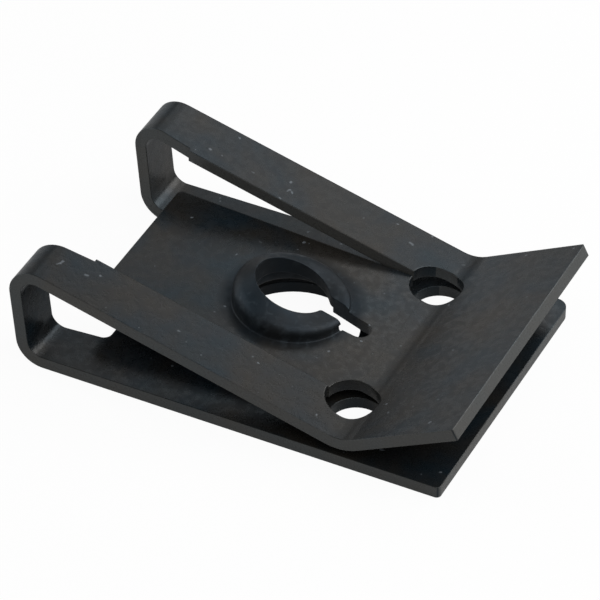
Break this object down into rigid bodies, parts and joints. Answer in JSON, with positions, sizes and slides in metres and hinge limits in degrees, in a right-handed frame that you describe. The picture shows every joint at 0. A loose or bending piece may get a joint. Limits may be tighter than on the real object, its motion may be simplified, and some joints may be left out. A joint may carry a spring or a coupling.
{
  "type": "u clip speed nut",
  "caption": "Folded spring sheet clip that slides over a panel edge and holds a tapping screw in a formed collar on its tongue.",
  "frame": {"origin": "on the screw axis, at the underside of the flat lower leaf", "axes": "+Z along the screw axis from the flat leaf toward the collar, +X from the fold toward the open mouth"},
  "size_m": [0.0249, 0.016, 0.006],
  "materials": {
    "dark_steel": "black phosphate, satin matte"
  },
  "bodies": {
    "root": {"u_clip": "dark_steel"}
  },
  "joints": []
}
